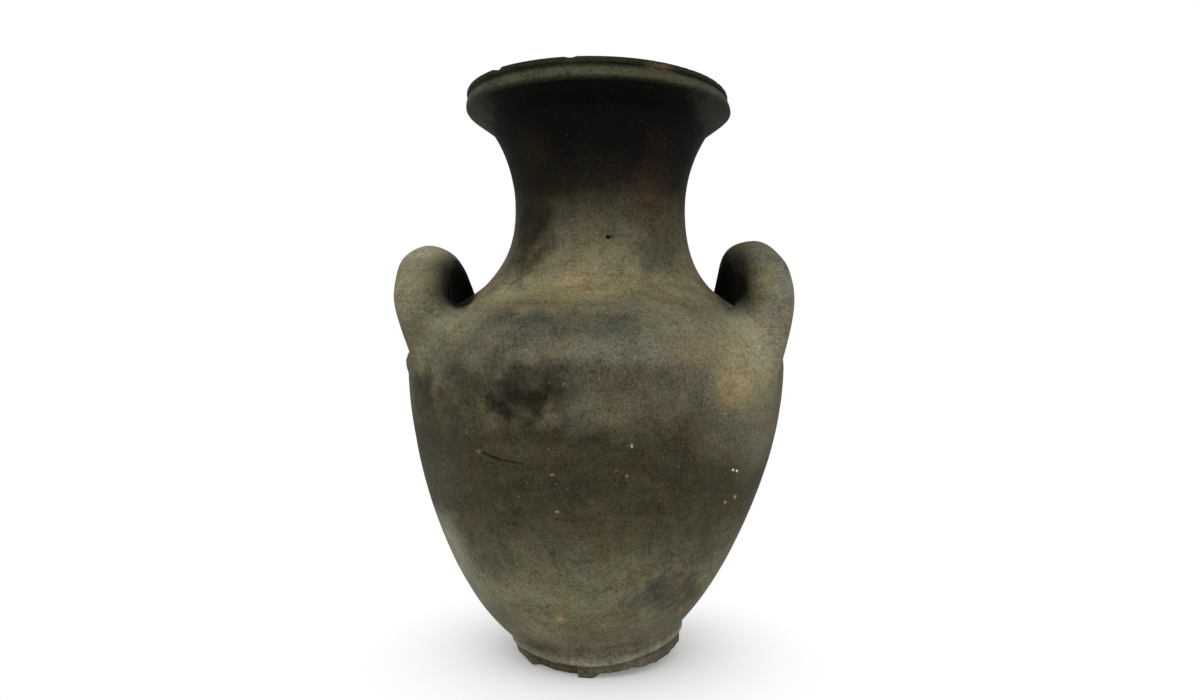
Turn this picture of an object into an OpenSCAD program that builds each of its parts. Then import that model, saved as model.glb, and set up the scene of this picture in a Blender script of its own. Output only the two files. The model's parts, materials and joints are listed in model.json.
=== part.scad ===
// A fired clay water jar with three handles, a flared neck, a thick rolled rim and a worn foot ring.
// The front of the jar faces -Y. The upright pouring handle is at the back, at +Y.

/* [Body] */
// Widest diameter, at the join of the two thrown halves
belly_d = 256; // [236:1:282]
// Height of the lower half, from the foot's seat to the widest place
lower_h = 188; // [172:1:206]
// Width of the flat base where the foot is joined on
base_d = 97.4; // [96:0.2:104]
// How far the lower half swings out before it climbs, as a part of its overhang
lower_swing = 0.6; // [0.45:0.01:0.7]
// Steepness of that swing, as a part of the lower half's height
lower_lift = 0.18; // [0.13:0.01:0.24]
// How much of its height the wall's upright pull reaches down
lower_upright = 0.3; // [0.24:0.01:0.42]
// Wall of the two thrown halves
body_wall = 7; // [5:0.5:9]
// Thickness of the floor at its middle
floor_t = 9; // [7:0.5:12]
// How far the base sags inside the foot ring
base_sag = 2.5; // [0:0.5:4]

/* [Shoulder] */
// Rise of the shoulder, from the widest place to the root of the neck
shoulder_h = 56; // [50:1:64]
// How broad the turn at the widest place is: the length of its upright pull
shoulder_turn = 28; // [16:1:34]
// Straight pull of the shoulder down from the neck
shoulder_pull = 20; // [12:1:26]

/* [Neck] */
// Diameter of the neck's root on the shoulder
root_d = 150.8; // [140:0.2:160]
// Height of the flare from the root to the narrowest place
flare_h = 52; // [44:1:60]
// Diameter at the narrowest place
waist_d = 117.8; // [108:0.2:126]
// Height from the narrowest place to the rim
throat_h = 53; // [44:1:60]
// Diameter of the neck just under the rim
neck_top_d = 150; // [142:0.5:156]
// Wall of the neck
neck_wall = 7; // [5:0.5:8.5]

/* [Rim] */
// Widest diameter of the rolled rim
rim_d = 182.6; // [170:0.2:200]
// Height of the rim above the neck's edge
rim_h = 25; // [22:0.5:30]
// Height of the lower roll's widest place above the neck's edge
roll_h = 13; // [11:0.5:15]
// Height of the groove between the roll and the lip
groove_h = 20.5; // [18.5:0.5:21]
// Depth of that groove
groove_depth = 2.4; // [1:0.2:3]
// How far the lip stays behind the roll
lip_setback = 1; // [0:0.2:2]
// Diameter of the mouth
mouth_d = 147; // [138:1:154]

/* [Foot] */
// Height of the body's base above the ground
foot_h = 11; // [10:0.5:14]
// Diameter of the foot ring against the body
foot_d = 114; // [110:1:118]
// How far its worn edge at the ground stays inside that
foot_taper = 2.5; // [1.5:0.5:4]
// Wall of the foot ring, from its outside to the hollow under the jar
foot_wall = 11; // [9:0.5:14]
// How far the foot sits off the body's axis
foot_shift = 3; // [0:0.5:4]
// How deep the broken edge goes in its worst place
chip_h = 9.6; // [5:0.2:9.8]
// How far the spall at the front goes into the ring
spall_depth = 5; // [2:0.5:6]
// Width of that spall
spall_w = 29; // [20:1:34]

/* [Side handles] */
// Spread of a side handle's two roots
grip_span = 132; // [120:1:144]
// Height of the roots above the widest place
grip_root_up = 23; // [18:1:28]
// Rise of the left handle's middle line above its roots
left_rise = 47; // [43:1:53]
// Rise of the right handle's middle line above its roots
right_rise = 53; // [46:1:58]
// How far inside the widest place the left handle's top stands
left_inset = 15; // [11:0.5:20]
// How far inside the widest place the right handle's top stands
right_inset = 24; // [19:0.5:27]
// How far the left handle's legs bow outward on their way up
left_bow = 10; // [6:0.5:13]
// How far the right handle's legs bow outward on their way up
right_bow = 8.5; // [5:0.5:12]
// Width of the strap at its legs
grip_leg_w = 35; // [28:0.5:38]
// Width of the strap at its top
grip_top_w = 28.5; // [24:0.5:34]
// Thickness of the strap
grip_t = 19; // [15:0.5:21]
// How far the roots stand out of the shoulder
grip_seat = 4.5; // [3.5:0.5:7]
// How far the strap's ends run on down, to die into the belly
grip_tail = 32; // [24:1:36]

/* [Back handle] */
// Width of the back handle's strap
back_w = 30; // [24:1:36]
// Thickness of that strap
back_t = 14; // [11:0.5:17]
// Height of its upper root below the rim
back_drop = 17; // [13:1:24]
// How far inside the widest place its lower root stands on the shoulder
back_root_in = 30; // [24:1:36]
// How far inside the widest place its pull stands
back_inset = 9; // [3:1:15]

/* [Joins] */
// Height of the tongue that locks the two thrown halves
tongue_h = 3; // [2:0.5:4]
// Height of the collar that centres the neck on the shoulder
collar_h = 3; // [2:0.5:4]
// Height of the neck's edge inside the rim
rebate_h = 4; // [3:0.5:6]
// Room for slip in a join
slip_gap = 0.2; // [0.1:0.05:0.4]
// How thick the luting clay is in the corner round a side handle's roots
grip_luting = 7; // [5:0.5:9]
// How thick it is round the back handle's roots
back_luting = 5.5; // [4:0.5:7]
// How far the luting clay climbs from the vessel's surface
luting_climb = 13; // [9:1:16]
// Width of the luting clay along the corner between foot and body
foot_luting_w = 3.5; // [2.5:0.5:5]
// Height above the ground to which that clay runs down the foot's wall at the front left
skirt_low = 9.5; // [9:0.5:12]
// How much its lower edge rises towards the back right, in degrees
skirt_tilt = 8; // [5:0.5:9]

/* [Hidden] */
$fn = 96;

clay = [0.36, 0.34, 0.27];
clay_light = [0.47, 0.44, 0.33];
clay_dark = [0.2, 0.19, 0.16];
clay_slip = [0.45, 0.43, 0.36];
clay_broken = [0.4, 0.38, 0.33];

belly_r = belly_d / 2;
base_r = base_d / 2;
root_r = root_d / 2;
waist_r = waist_d / 2;
neck_top_r = neck_top_d / 2;
rim_r = rim_d / 2;
mouth_r = mouth_d / 2;
belly_z = foot_h + lower_h;
root_z = belly_z + shoulder_h;
waist_z = root_z + flare_h;
neck_top_z = waist_z + throat_h;
top_z = neck_top_z + rim_h;
foot_r = foot_d / 2;
hollow_r = foot_r - foot_wall;

// Curves of the outer profile, as [radius, height] control points
neck_lean = [-0.63, 0.777];
lower_curve = [[base_r, foot_h],
  [base_r + lower_swing * (belly_r - base_r), foot_h + lower_lift * lower_h],
  [belly_r, belly_z - lower_upright * lower_h], [belly_r, belly_z]];
shoulder_curve = [[belly_r, belly_z], [belly_r, belly_z + shoulder_turn],
  [root_r, root_z] - shoulder_pull * neck_lean, [root_r, root_z]];
flare_curve = [[root_r, root_z], [root_r, root_z] + 0.365 * flare_h * neck_lean,
  [waist_r, waist_z - 0.437 * flare_h], [waist_r, waist_z]];
throat_curve = [[waist_r, waist_z], [waist_r, waist_z + 0.264 * throat_h],
  [neck_top_r - 0.234 * throat_h, neck_top_z - 0.359 * throat_h], [neck_top_r, neck_top_z]];

function bez(p, t) = pow(1 - t, 3) * p[0] + 3 * t * pow(1 - t, 2) * p[1]
  + 3 * t * t * (1 - t) * p[2] + pow(t, 3) * p[3];
function bez_way(p, t) = pow(1 - t, 2) * (p[1] - p[0]) + 2 * t * (1 - t) * (p[2] - p[1])
  + t * t * (p[3] - p[2]);
function unit(v) = v / norm(v);
function line(p, n, bunch = 1) = [for (i = [0:n]) bez(p, pow(i / n, bunch))];
// The same curve, one wall nearer to the cavity
function inside(p, n, wall) = [for (i = [0:n]) let (way = unit(bez_way(p, i / n)))
  bez(p, i / n) + wall * [-way.y, way.x]];
function backward(list) = [for (i = [len(list) - 1:-1:0]) list[i]];
function above(list, z) = [for (p = list) if (p.y > z) p];
function below(list, z) = [for (p = list) if (p.y < z) p];
function radius_at(list, z) = lookup(z, [for (p = list) [p.y, p.x]]);

lower_out = line(lower_curve, 14);
lower_in = inside(lower_curve, 14, body_wall);
shoulder_out = line(shoulder_curve, 9);
shoulder_in = inside(shoulder_curve, 9, body_wall);
flare_out = line(flare_curve, 7);
throat_out = line(throat_curve, 7);
neck_in = concat(inside(flare_curve, 7, neck_wall), inside(throat_curve, 7, neck_wall));
vessel_out = concat(lower_out, shoulder_out, flare_out, throat_out);
floor_z = foot_h - base_sag + floor_t;
land_r = hollow_r - foot_shift - 0.5;
collar_r = root_r - 4.5;
collar_in_r = radius_at(neck_in, root_z + collar_h);
rebate_in_r = radius_at(neck_in, neck_top_z);
tongue_r = belly_r - body_wall / 2;

// Everything inside the outer surface, or within a reach of it, for trimming what is luted on
module vessel_solid(reach = 0) {
  rotate_extrude()
    polygon(concat([[0, foot_h - reach]], reach == 0 ? vessel_out : concat(
      inside(lower_curve, 14, -reach), inside(shoulder_curve, 9, -reach),
      inside(flare_curve, 7, -reach), inside(throat_curve, 7, -reach)), [[0, neck_top_z]]));
}

// Pieces thrown on the wheel

module lower_body() {
  color(clay)
    rotate_extrude()
      polygon(concat(
        [[0, foot_h - base_sag], [land_r * 0.6, foot_h - base_sag * 0.64], [land_r, foot_h]],
        lower_out,
        [[tongue_r + 2, belly_z], [tongue_r + 0.8, belly_z + tongue_h],
         [tongue_r - 0.8, belly_z + tongue_h], [tongue_r - 2, belly_z]],
        backward(above(lower_in, floor_z)),
        [[0, floor_z]]));
}

module shoulder() {
  color(clay_light)
    rotate_extrude()
      polygon(concat(
        shoulder_out,
        [[collar_r, root_z], [collar_r, root_z + collar_h], [collar_in_r, root_z + collar_h]],
        backward(shoulder_in),
        [[tongue_r - 2, belly_z], [tongue_r - 0.8, belly_z + tongue_h + slip_gap],
         [tongue_r + 0.8, belly_z + tongue_h + slip_gap], [tongue_r + 2, belly_z]]));
}

module neck() {
  seat_z = root_z + collar_h + slip_gap;
  color(clay_dark)
    rotate_extrude()
      polygon(concat(
        flare_out,
        throat_out,
        [[neck_top_r, neck_top_z + rebate_h], [rebate_in_r, neck_top_z + rebate_h]],
        backward(below(above(neck_in, seat_z + 1), neck_top_z)),
        [[radius_at(neck_in, seat_z), seat_z], [collar_r + slip_gap, seat_z],
         [collar_r + slip_gap, root_z]]));
}

// Heavy overhanging roll with a fine groove under a narrow lip
module rim() {
  lip_r = rim_r - lip_setback;
  seat_z = neck_top_z + rebate_h;
  under = [[neck_top_r, neck_top_z], [neck_top_r + 7, neck_top_z + roll_h * 0.46],
    [rim_r, neck_top_z + roll_h * 0.86], [rim_r, neck_top_z + roll_h]];
  over = [[rim_r, neck_top_z + roll_h], [rim_r, neck_top_z + roll_h + 4],
    [rim_r - groove_depth + 0.7, neck_top_z + groove_h - 2],
    [rim_r - groove_depth, neck_top_z + groove_h]];
  lip = [[rim_r - groove_depth, neck_top_z + groove_h], [lip_r + 0.6, neck_top_z + groove_h + 0.8],
    [lip_r + 0.4, top_z], [lip_r - 4, top_z]];
  throat = [[lip_r - 4, top_z], [mouth_r + 5, top_z], [mouth_r, top_z - 4], [mouth_r, top_z - 11]];
  color(clay)
    rotate_extrude()
      polygon(concat(
        line(under, 5), line(over, 4), line(lip, 4), line(throat, 5),
        [[rebate_in_r, seat_z], [neck_top_r, seat_z]]));
}

// The foot

// What one break takes off the ring's lower edge: its turn, height, spread in degrees and tilt
module chip(turn, height, spread, tilt) {
  width = foot_d * tan(spread / 2);
  deep = 3 * foot_h;
  rotate([0, 0, turn])
    translate([hollow_r - 6, 0, height])
      rotate([tilt, 0, 0])
        translate([0, -width / 2, -deep])
          cube([foot_d / 4, width, deep]);
}

// Ring stub with its lower edge broken away along the front and sides
module foot_ring() {
  edge_r = foot_r - foot_taper;
  color(clay_broken)
    difference() {
      translate([foot_shift, 0, 0])
        rotate_extrude()
          polygon([[hollow_r, 0], [edge_r - 1, 0], [edge_r, 1], [foot_r - 0.8, 0.55 * foot_h],
            [foot_r, 0.9 * foot_h], [foot_r, 2.5 * foot_h], [hollow_r, 2.5 * foot_h]]);
      vessel_solid();
      translate([foot_shift, 0, 0]) {
        for (side = [[4, 0.58, 24, 4], [-20, 1.12, 20, -4], [-38, 0.8, 26, 3], [-62, 0.7, 28, -2],
            [-82, 0.64, 18, 2], [-148, 0.45, 36, -4], [-177, 0.12, 24, 2]])
          chip(side[0], side[1] * chip_h, side[2], side[3]);
        rotate([0, 0, -120])
          translate([foot_r - spall_depth, -spall_w / 2, -1])
            rotate([0, 9, 0])
              cube([2 * spall_depth + 2, spall_w, foot_h]);
      }
    }
}

// Band of clay pressed into the corner between foot and body, run down the wall at the front left
module foot_luting() {
  color(clay_slip)
    difference() {
      intersection() {
        translate([foot_shift, 0, 0])
          difference() {
            cylinder(h = 3 * foot_h, r = foot_r + foot_luting_w);
            translate([0, 0, -1])
              cylinder(h = 3 * foot_h + 2, r = foot_r);
          }
        union() {
          vessel_solid(foot_luting_w);
          translate([foot_shift, 0, skirt_low + foot_r * tan(skirt_tilt)])
            rotate([0, 0, 48])
              rotate([0, -skirt_tilt, 0])
                translate([-foot_d, -foot_d, 0])
                  cube([2 * foot_d, 2 * foot_d, 4 * foot_h]);
        }
      }
      vessel_solid();
    }
}

// Handles: oval straps swept along a curve

ring_points = 20;
tail_fade = 8;
outer_ease = 0.5;

// One cross-section of a strap, a little squarer than an ellipse
function oval(w, t) = [for (i = [0:ring_points - 1]) let (a = 360 * i / ring_points)
  [w / 2 * sign(cos(a)) * pow(abs(cos(a)), 0.85), t / 2 * sign(sin(a)) * pow(abs(sin(a)), 0.85)]];

// The section set across the path, its width kept as near as can be to the given direction
function placed(section, at, way, width_dir) =
  let (across = unit(width_dir - (width_dir * way) * way), thin = cross(way, across))
  [for (p = section) at + p.x * across + p.y * thin];

function ways(path) = [for (i = [0:len(path) - 1])
  unit(path[min(i + 1, len(path) - 1)] - path[max(i - 1, 0)])];

function stations(path, widths, thick, width_dir) = let (way = ways(path))
  [for (i = [0:len(path) - 1])
    placed(oval(widths[i], thick), path[i], way[i], width_dir)];

function middle(ring) = (ring[0] + ring[ring_points / 2]) / 2;
// Height of a point above the vessel's surface, near enough for a fillet
function clear_of_vessel(p) = 0.7 * (norm([p.x, p.y]) - radius_at(vessel_out, p.z));
// How much luting clay a ring carries: little where the strap has sunk into the vessel
function carried(ring) = max(0.1, min(1, 1 + (clear_of_vessel(middle(ring)) + 3) / tail_fade));
// How much a side of the ring carries: less where it faces away from the jar
function eased(side, at) = 1 - outer_ease * max(0, side * unit([at.x, at.y, 0]));
// The strap's own rings grown outward, most where they lie on the vessel
function grown(rings, spread) = [for (ring = rings) let (at = middle(ring), load = carried(ring))
  [for (p = ring) let (side = unit(p - at))
    p + spread * (0.04 + load * eased(side, at)
      * pow(max(0, 1 - max(-3, clear_of_vessel(p)) / luting_climb), 2)) * side]];

function side_faces(from, count, flip) = [for (i = [0:count - 2]) for (j = [0:ring_points - 1])
  let (k = (j + 1) % ring_points, a = from + i * ring_points + j, b = from + i * ring_points + k,
    c = a + ring_points, d = b + ring_points)
  for (face = flip ? [[a, c, b], [b, c, d]] : [[a, b, c], [b, d, c]]) face];

function flat(lists) = [for (list = lists) for (item = list) item];

module strap(rings) {
  last = (len(rings) - 1) * ring_points;
  polyhedron(points = flat(rings), faces = concat(
    side_faces(0, len(rings), false),
    [[for (j = [ring_points - 1:-1:0]) j]],
    [[for (j = [0:ring_points - 1]) last + j]]));
}

// A sleeve whose inside is the strap's own surface
module sleeve(inner, outer) {
  count = len(inner);
  total = count * ring_points;
  last = (count - 1) * ring_points;
  ends = [for (j = [0:ring_points - 1]) let (k = (j + 1) % ring_points)
    for (face = [[j, total + j, k], [k, total + j, total + k],
      [last + j, last + k, total + last + j], [last + k, total + last + k, total + last + j]]) face];
  polyhedron(points = concat(flat(inner), flat(outer)), faces = concat(
    side_faces(0, count, true), side_faces(total, count, false), ends));
}

module fillet(rings, spread) {
  intersection() {
    difference() {
      sleeve(rings, grown(rings, spread));
      vessel_solid();
    }
    vessel_solid(luting_climb);
  }
}

side_steps = 11;
tail_steps = 6;
root_height = belly_z + grip_root_up;
root_reach = radius_at(vessel_out, root_height) + grip_seat;
root_x = sqrt(root_reach * root_reach - grip_span * grip_span / 4);

// Half of a side handle's middle line, from the front root up to its top
function side_half(rise, inset, bow) = let (top_x = belly_r - inset,
    curve = [[root_x, -grip_span / 2, root_height],
      [root_x + bow, -grip_span / 2 - 2, root_height + 0.55 * rise],
      [top_x, -0.29 * grip_span, root_height + rise], [top_x, 0, root_height + rise]])
  concat([for (i = [tail_steps:-1:1]) curve[0] - i / tail_steps * grip_tail * unit(curve[1] - curve[0])],
    line(curve, side_steps, 1.2));

function side_path(rise, inset, bow) = let (half = side_half(rise, inset, bow), n = len(half))
  concat(half, [for (i = [n - 2:-1:0]) [half[i].x, -half[i].y, half[i].z]]);

function side_rings(rise, inset, bow) = let (path = side_path(rise, inset, bow),
    widths = [for (p = path)
      grip_top_w + (grip_leg_w - grip_top_w) * min(1, abs(p.y) / (0.45 * grip_span))])
  stations(path, widths, grip_t, [1, 0, 0]);

module side_handle(rise, inset, bow) {
  difference() {
    strap(side_rings(rise, inset, bow));
    vessel_solid();
  }
}

// Clay pressed into the corner round both roots of a side handle
module side_luting(rise, inset, bow) {
  rings = side_rings(rise, inset, bow);
  n = len(rings);
  last = tail_steps + 6;
  fillet([for (i = [0:last]) rings[i]], grip_luting);
  fillet([for (i = [n - 1 - last:n - 1]) rings[i]], grip_luting);
}

module left_handle() {
  color(clay_light) mirror([1, 0, 0]) side_handle(left_rise, left_inset, left_bow);
}

module right_handle() {
  color(clay_light) side_handle(right_rise, right_inset, right_bow);
}

module left_handle_luting() {
  color(clay_slip) mirror([1, 0, 0]) side_luting(left_rise, left_inset, left_bow);
}

module right_handle_luting() {
  color(clay_slip) side_luting(right_rise, right_inset, right_bow);
}

back_steps = 16;
back_top_z = neck_top_z - back_drop;
back_top_r = radius_at(vessel_out, back_top_z) - 6;
back_reach = belly_r - back_inset;
back_root_r = belly_r - back_root_in;
back_low_z = lookup(-back_root_r, [for (p = vessel_out) if (p.y >= belly_z) [-p.x, p.y]]) - 5;

back_rings = let (path = line([[0, back_top_r, back_top_z], [0, back_reach - 6, back_top_z + 9],
    [0, back_reach, (back_top_z + back_low_z) / 2 - 4],
    [0, back_root_r - 6, back_low_z]], back_steps))
  stations(path, [for (p = path) back_w], back_t, [1, 0, 0]);

module back_handle() {
  color(clay_light)
    difference() {
      strap(back_rings);
      vessel_solid();
    }
}

module back_handle_luting() {
  n = len(back_rings);
  color(clay_slip) {
    fillet([for (i = [0:5]) back_rings[i]], back_luting);
    fillet([for (i = [n - 6:n - 1]) back_rings[i]], back_luting);
  }
}

lower_body();
shoulder();
neck();
rim();
foot_ring();
foot_luting();
left_handle();
right_handle();
back_handle();
left_handle_luting();
right_handle_luting();
back_handle_luting();
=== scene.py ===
# A fired clay water jar with three handles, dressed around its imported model.
# Lengths are in millimetres here and become metres in makeMesh.
import bmesh
import bpy
import json
import math
import numpy as np
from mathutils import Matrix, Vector, noise


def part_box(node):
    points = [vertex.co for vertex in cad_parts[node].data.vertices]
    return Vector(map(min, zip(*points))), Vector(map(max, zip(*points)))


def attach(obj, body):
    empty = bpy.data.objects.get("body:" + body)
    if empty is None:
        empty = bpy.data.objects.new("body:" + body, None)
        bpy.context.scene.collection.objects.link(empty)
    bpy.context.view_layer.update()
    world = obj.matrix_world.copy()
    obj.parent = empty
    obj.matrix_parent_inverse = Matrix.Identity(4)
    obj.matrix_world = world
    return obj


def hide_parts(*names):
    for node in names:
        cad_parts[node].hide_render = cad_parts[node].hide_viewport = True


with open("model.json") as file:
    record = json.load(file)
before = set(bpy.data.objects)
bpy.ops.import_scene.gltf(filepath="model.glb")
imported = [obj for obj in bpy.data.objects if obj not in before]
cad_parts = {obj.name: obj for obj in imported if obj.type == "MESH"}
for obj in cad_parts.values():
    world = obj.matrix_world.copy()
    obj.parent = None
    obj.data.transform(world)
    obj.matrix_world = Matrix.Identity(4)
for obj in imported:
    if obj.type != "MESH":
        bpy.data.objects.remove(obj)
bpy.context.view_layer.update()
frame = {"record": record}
mm = 0.001


def cadCorners(node):   # lowest and highest corner of a CAD node, in millimetres
    low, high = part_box(node)
    return low / mm, high / mm


def flat2(r, z):
    return Vector((r, z))


# Curves

def bezier(p, t):
    s = 1 - t
    return s ** 3 * p[0] + 3 * t * s * s * p[1] + 3 * t * t * s * p[2] + t ** 3 * p[3]


def bezierWay(p, t):
    s = 1 - t
    return (s * s * (p[1] - p[0]) + 2 * t * s * (p[2] - p[1]) + t * t * (p[3] - p[2])).normalized()


def curveLine(p, count, start=0):
    return [bezier(p, i / count) for i in range(start, count + 1)]


def insideLine(p, count, wall):   # the same curve, one wall nearer to the cavity
    line = []
    for i in range(count + 1):
        way = bezierWay(p, i / count)
        line.append(bezier(p, i / count) + wall * flat2(-way.y, way.x))
    return line


def backward(line):
    return line[::-1]


def smooth(t):
    t = np.clip(t, 0, 1)
    return t * t * (3 - 2 * t)


# The jar's outline, the same curves as the model's own

shoulderLow, shoulderHigh = cadCorners("shoulder")
neckLow, neckHigh = cadCorners("neck")
rimLow, rimHigh = cadCorners("rim")
footLow, footHigh = cadCorners("foot_ring")

jar = {
    "wall": 7, "floor": 9, "sag": 2.5,
    "baseR": 48.7, "baseZ": 11,
    "bellyR": shoulderHigh.x, "bellyZ": shoulderLow.z,
    "rootR": neckHigh.x, "rootZ": neckLow.z,
    "waistR": 58.9, "waistZ": 307,
    "neckTopR": 75, "neckTopZ": rimLow.z,
    "rimR": rimHigh.x, "topZ": rimHigh.z, "mouthR": 73.5,
    "swing": 0.6, "lift": 0.18, "upright": 0.3, "turn": 28, "pull": 20,   # the swell of belly and shoulder
    "neckLean": (-0.63, 0.777), "flareLead": 19, "waistLead": 22.7,   # how the neck leaves and narrows
    "throatLead": 14, "throatIn": 12.4, "throatDown": 19,
    "tongue": 3, "tongueRoot": 2, "tongueTip": 0.8,   # the seams between the pieces
    "collar": 3, "collarIn": 4.5, "collarSlope": 2.2, "rebate": 4, "slip": 0.2,
}
lowerH = jar["bellyZ"] - jar["baseZ"]
neckLean = flat2(*jar["neckLean"])
root = flat2(jar["rootR"], jar["rootZ"])
waist = flat2(jar["waistR"], jar["waistZ"])
neckEdge = flat2(jar["neckTopR"], jar["neckTopZ"])
lowerCurve = [
    flat2(jar["baseR"], jar["baseZ"]),
    flat2(jar["baseR"] + jar["swing"] * (jar["bellyR"] - jar["baseR"]),
          jar["baseZ"] + jar["lift"] * lowerH),
    flat2(jar["bellyR"], jar["bellyZ"] - jar["upright"] * lowerH),
    flat2(jar["bellyR"], jar["bellyZ"]),
]
belly = lowerCurve[3]
shoulderCurve = [belly, belly + flat2(0, jar["turn"]), root - jar["pull"] * neckLean, root]
flareCurve = [root, root + jar["flareLead"] * neckLean, waist - flat2(0, jar["waistLead"]), waist]
throatCurve = [waist, waist + flat2(0, jar["throatLead"]),
               neckEdge - flat2(jar["throatIn"], jar["throatDown"]), neckEdge]

fineness = {"lower": 160, "shoulder": 70, "neck": 50}
outline = curveLine(lowerCurve, fineness["lower"])
outline += curveLine(shoulderCurve, fineness["shoulder"], 1)
outline += curveLine(flareCurve, fineness["neck"], 1) + curveLine(throatCurve, fineness["neck"], 1)
outlineR = np.array([p.x for p in outline])
outlineZ = np.array([p.y for p in outline])


def radiusAt(z):
    return float(np.interp(z, outlineZ, outlineR))


def clearOfJar(points):   # distance from the jar's outer surface, less than 0 inside, and the nearest place
    points = np.asarray(points, float).reshape(-1, 3)
    r = np.hypot(points[:, 0], points[:, 1])
    z = points[:, 2]
    far = np.hypot(r[:, None] - outlineR, z[:, None] - outlineZ)
    nearest = far.argmin(1)
    away = far[np.arange(len(r)), nearest]
    outside = r > np.interp(z, outlineZ, outlineR)
    return np.where(outside, away, -away), nearest


def nearestOn(point):   # the outline's nearest place that has a neighbour on both sides
    nearest = clearOfJar([point])[1]
    return min(max(int(nearest[0]), 1), len(outlineR) - 2)


def ontoJar(point):   # the nearest point of the jar's outer surface
    i = nearestOn(point)
    spot = flat2(math.hypot(point.x, point.y), point.z)
    best = None
    for a, b in ((i - 1, i), (i, i + 1)):
        start = flat2(outlineR[a], outlineZ[a])
        way = flat2(outlineR[b], outlineZ[b]) - start
        t = min(max((spot - start).dot(way) / way.length_squared, 0), 1)
        gap = (start + t * way - spot).length
        if best is None or gap < best[0]:
            best = (gap, start + t * way)
    r, z = best[1]
    turn = math.atan2(point.y, point.x)
    return Vector((r * math.cos(turn), r * math.sin(turn), z))


def jarNormal(point):   # outward normal of the jar's surface near a point
    i = nearestOn(point)
    way = flat2(outlineR[i + 1] - outlineR[i - 1], outlineZ[i + 1] - outlineZ[i - 1]).normalized()
    turn = math.atan2(point.y, point.x)
    return Vector((way.y * math.cos(turn), way.y * math.sin(turn), -way.x))


print("jar: belly", round(jar["bellyR"], 1), "mm at", round(jar["bellyZ"], 1), "mm")


# The hand's part: one field of small shifts that every piece goes through, so that joins stay closed

hand = {
    "lean": [(8.5, -2.9), (25, -2.9), (60, -2.6), (100, -1.5), (145, 0), (200, 0.6), (250, 0.6),
             (290, 2.6), (330, 2.2), (355, 1.9), (385, -0.5)],   # height, and shift to the right
    "oval": 0.002, "broad": 0.45, "broadSize": 55, "fine": 0.15, "fineSize": 17,
    "throwing": 0.1, "throwingSize": 7, "throwingRound": 0.3, "fadeWide": 90, "fadeHigh": 40,
    "rimWave": 0.4, "rimWaves": 1.7, "rimTilt": 0.007, "waveFrom": 340, "waveOver": 40, "calmR": 40,
}
leanZ = np.array([z for z, _ in hand["lean"]], float)
leanX = np.array([x for _, x in hand["lean"]], float)
leanSlope = np.gradient(leanX, leanZ)
leanTop = 400


def leanAt(z):   # smooth line through the lean's places
    i = int(np.clip(np.searchsorted(leanZ, z) - 1, 0, len(leanZ) - 2))
    span = leanZ[i + 1] - leanZ[i]
    t = min(max((z - leanZ[i]) / span, 0), 1)
    s = 1 - t
    return (leanX[i] * (1 + 2 * t) * s * s + leanX[i + 1] * t * t * (3 - 2 * t)
            + span * (leanSlope[i] * t * s * s - leanSlope[i + 1] * t * t * s))


leanHeights = np.arange(leanTop + 1)
leanTable = np.array([leanAt(z) for z in leanHeights])


def handMade(p, leanCap=leanTop):
    around = Vector((p.x, p.y, 0))
    r = around.length
    if r > 0:
        around /= r
    swell = (hand["broad"] * noise.noise(p / hand["broadSize"])
             + hand["fine"] * noise.noise(p / hand["fineSize"] + Vector((3, 7, 1))))
    slow = Vector((p.x / hand["fadeWide"], p.y / hand["fadeWide"], p.z / hand["fadeHigh"]))
    fading = 0.5 + noise.noise(slow)
    throwing = around * hand["throwingRound"] + Vector((0, 0, p.z / hand["throwingSize"]))
    swell += hand["throwing"] * fading * noise.noise(throwing)
    swell *= min(1, r / hand["calmR"])
    oval = hand["oval"] * (p.x * p.x - p.y * p.y) / max(r, 1)
    high = float(smooth((p.z - hand["waveFrom"]) / hand["waveOver"]))
    wave = hand["rimWave"] * noise.noise(around * hand["rimWaves"] + Vector((5, 0, 0)))
    wave -= hand["rimTilt"] * p.x
    moved = p + around * (swell + oval)
    moved.x += float(np.interp(min(p.z, leanCap), leanHeights, leanTable))
    moved.z += high * wave
    return moved


# Marks of use, in rows: pieces, place, reach, depth, how finely the faces there are cut, and a line's end

wear = {"ragged": 0.35, "grain": 0.9, "lipFrom": 380, "lipDown": 0.8, "room": 1.5}
markRows = [
    (("Neck",), (7.5, -61.8, 280.2), 1.7, 1.6, 4),
    (("LowerBody",), (-65.8, -102.8, 149.6), 1.1, 0.7, 5, (-53.5, -108.8, 145.9)),   # the long scratch
    (("LowerBody",), (-53.5, -108.8, 145.9), 0.9, 0.7, 5, (-40.4, -114, 144.4)),
    (("LowerBody",), (85.6, -82.2, 137.6), 1.3, 0.35, 3),
    (("LowerBody",), (-66, -102.7, 150), 2.0, 0.5, 2),
    (("LowerBody", "Shoulder"), (-124, -31, 201), 8, -1.5, 0),   # a lump
    (("Shoulder", "LeftHandle", "LeftHandleLuting"), (-121, -34, 210), 4, 1.1, 0),
    (("RimRoll",), (-62.5, -63.5, 385), 5, 1.6, 1),
    (("RimRoll",), (-16.3, -88.1, 384.5), 4.2, 1.4, 1),
    (("RimRoll",), (-22.7, -89.5, 371.2), 3, 1.6, 1),
    (("RimRoll",), (38.5, -81.5, 381.8), 4, 1.3, 1),
    (("RimRoll",), (60, -68, 384.6), 3.2, 0.8, 1),
]
knocks = {
    "count": 26, "atFront": 17, "start": -75, "span": 95, "crowding": 0.7, "spacing": 40,
    "r": 90, "z": (383.6, 0.8, 7), "reach": (1.8, 0.9, 3), "deep": (0.6, 0.25, 5),   # middle, swing, beat
}


def swinging(key, step, wave=math.sin):
    middle, swing, beat = knocks[key]
    return middle + swing * wave(beat * step)


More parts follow.
